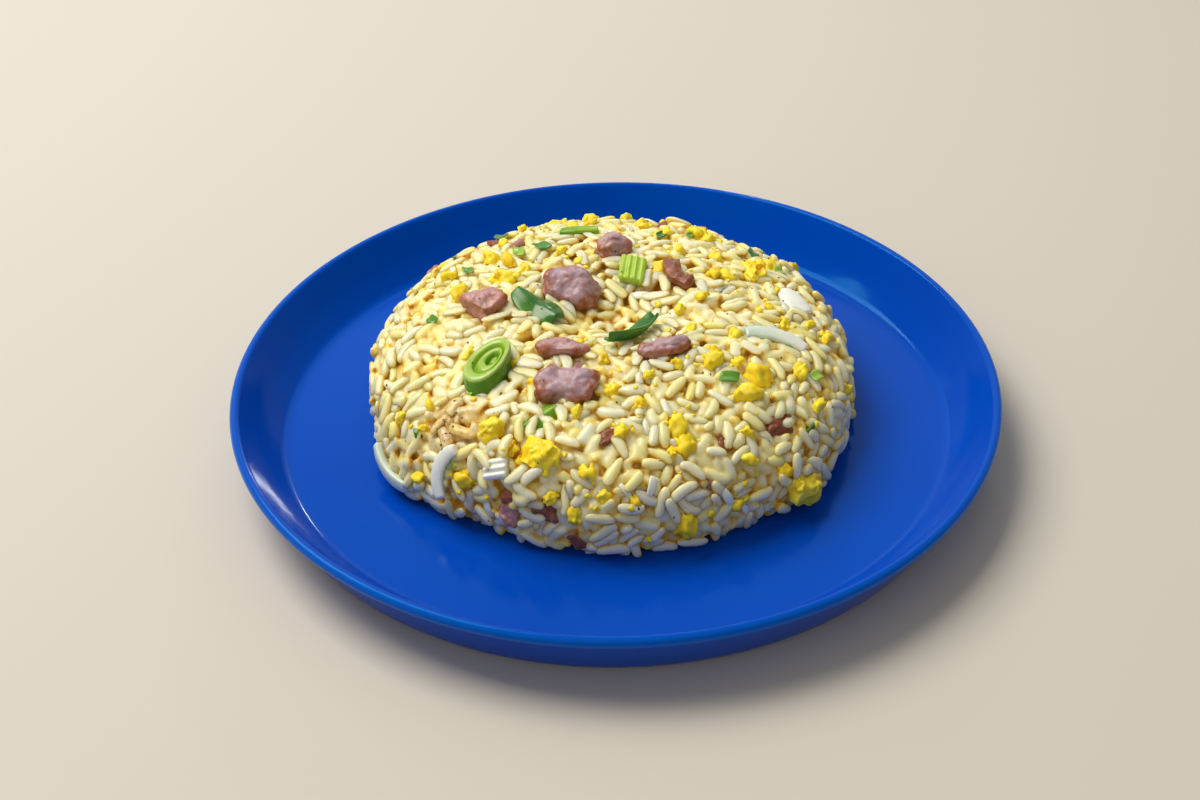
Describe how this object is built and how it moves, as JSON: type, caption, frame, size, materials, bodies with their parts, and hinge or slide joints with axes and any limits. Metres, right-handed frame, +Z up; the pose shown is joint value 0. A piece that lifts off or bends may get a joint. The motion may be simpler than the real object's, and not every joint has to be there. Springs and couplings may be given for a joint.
{
  "type": "fried rice plate",
  "caption": "Round deep-rimmed blue plate with a moulded mound of fried rice, hollowed on top, with diced ham, egg, scallion and onion; stands on its foot ring.",
  "frame": {"origin": "centre of the plate's foot ring, on the surface that it stands on", "axes": "+Z up out of the plate, -Y towards the side that faces the viewer, +X to the viewer's right"},
  "size_m": [0.21, 0.21, 0.0411],
  "materials": {
    "glaze": "glossy deep blue glaze over stoneware",
    "rice": null,
    "ham": null,
    "egg": null,
    "scallion": null,
    "scallion_leaf": null,
    "onion": null
  },
  "bodies": {
    "root": {"plate": "glaze", "rice_mound": "rice", "ham_1": "ham", "ham_2": "ham", "ham_3": "ham", "ham_4": "ham", "ham_5": "ham", "ham_6": "ham", "ham_7": "ham", "ham_8": "ham", "ham_9": "ham", "ham_10": "ham", "egg_1": "egg", "egg_2": "egg", "egg_3": "egg", "egg_4": "egg", "egg_5": "egg", "scallion_1": "scallion", "scallion_3": "scallion", "scallion_5": "scallion", "scallion_6": "scallion", "scallion_2": "scallion_leaf", "scallion_4": "scallion_leaf", "scallion_7": "scallion_leaf", "onion_1": "onion", "onion_2": "onion", "onion_3": "onion", "onion_4": "onion", "onion_5": "onion", "onion_6": "onion"}
  },
  "joints": []
}
